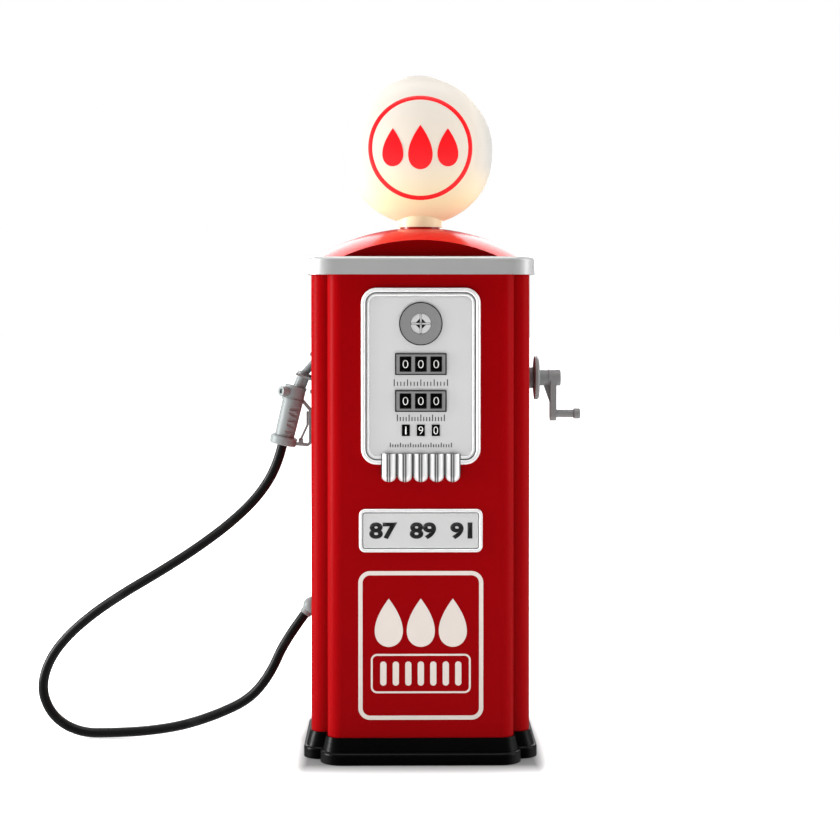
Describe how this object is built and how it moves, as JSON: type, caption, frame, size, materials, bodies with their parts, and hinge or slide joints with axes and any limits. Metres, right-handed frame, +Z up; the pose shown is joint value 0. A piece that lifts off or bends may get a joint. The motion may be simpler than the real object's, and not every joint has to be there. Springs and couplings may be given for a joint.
{
  "type": "gas pump",
  "caption": "Child-size vintage gas pump: sheet-metal cabinet with rear door, round lamp globe, dial panel, crank, and a nozzle on a hose that hangs in a fork.",
  "frame": {"origin": "centre of the base's underside, on the cabinet's vertical axis", "axes": "+Z up; the dial faces -Y; +X towards the crank; -X towards the nozzle and hose"},
  "size_m": [0.7308, 0.251, 0.893],
  "materials": {
    "red_enamel": "gloss red enamel on pressed sheet",
    "dark_red_plastic": "gloss",
    "black_plastic": "semi-gloss black",
    "silver_plastic": "satin silver",
    "dial_card": "satin pale grey",
    "grey_trim": "satin grey",
    "cream_globe": "translucent cream, gloss",
    "lamp_opal": "opal",
    "white_plastic": "satin",
    "grey_plastic": "satin mid grey",
    "crank_plastic": "satin grey",
    "hose_rubber": "satin black",
    "plated_steel": "zinc plated",
    "inside_steel": "thin red enamel",
    "magnet_black": "matte"
  },
  "bodies": {
    "cabinet": {"base_plinth": "black_plastic", "base_screws": "plated_steel", "bearing_nut": "plated_steel", "bottom_plate": "black_plastic", "cabinet_floor": "inside_steel", "counter_frames": "grey_trim", "crank_bearing": "crank_plastic", "dial_bezel": "silver_plastic", "dial_disc": "dial_card", "dial_face": "dial_card", "dial_ring": "grey_trim", "digit_tiles": "black_plastic", "door_catch": "magnet_black", "front_panel": "red_enamel", "globe_front": "cream_globe", "globe_rear": "cream_globe", "grade_plate": "silver_plastic", "hinge_fixed_leaves": "plated_steel", "hinge_pins": "plated_steel", "holder_screws": "plated_steel", "hose": "hose_rubber", "hose_outlet": "grey_plastic", "lamp_bulb": "lamp_opal", "lamp_holder": "white_plastic", "left_side_panel": "red_enamel", "lower_shelf": "inside_steel", "neck_ring": "dark_red_plastic", "nozzle_holder": "grey_plastic", "outlet_nut": "plated_steel", "right_side_panel": "red_enamel", "roof_cap": "red_enamel", "screw_posts": "black_plastic", "spout_port": "black_plastic", "top_band": "silver_plastic", "top_plate": "inside_steel", "upper_shelf": "inside_steel"},
    "door": {"rear_door": "red_enamel", "door_knob": "plated_steel", "hinge_door_leaves": "plated_steel", "strike_plate": "plated_steel"},
    "crank": {"crank_shaft": "plated_steel", "shaft_clip": "plated_steel", "crank_hub": "crank_plastic", "crank_arm": "crank_plastic", "crank_cap": "crank_plastic", "crank_pin": "crank_plastic"},
    "grip": {"crank_grip": "crank_plastic"},
    "nozzle": {"nozzle_body": "grey_plastic", "nozzle_collar": "grey_plastic", "nozzle_spout": "grey_plastic", "nozzle_guard": "grey_plastic", "nozzle_cap": "grey_plastic", "trigger_pin": "plated_steel"},
    "trigger": {"nozzle_trigger": "grey_plastic"}
  },
  "joints": [
    {"name": "door_hinge", "type": "hinge", "parent": "cabinet", "child": "door", "pos_m": [-0.125, 0.083, 0.33], "axis": [0, 0, 1], "range_deg": [0, 110]},
    {"name": "crank_turn", "type": "hinge", "parent": "cabinet", "child": "crank", "pos_m": [0.16, 0, 0.4895], "axis": [1, 0, 0], "continuous": true},
    {"name": "grip_spin", "type": "hinge", "parent": "crank", "child": "grip", "pos_m": [0.19, 0, 0.4415], "axis": [1, 0, 0], "continuous": true},
    {"name": "nozzle_lift", "type": "slide", "parent": "cabinet", "child": "nozzle", "axis": [-0.9063, 0, 0.4226], "range_m": [0, 0.12]},
    {"name": "trigger_squeeze", "type": "hinge", "parent": "nozzle", "child": "trigger", "pos_m": [-0.1598, 0, 0.4065], "axis": [0, -1, 0], "range_deg": [0, 9], "stiffness_Nm_per_rad": 0.02, "springref_deg": -8.59}
  ]
}
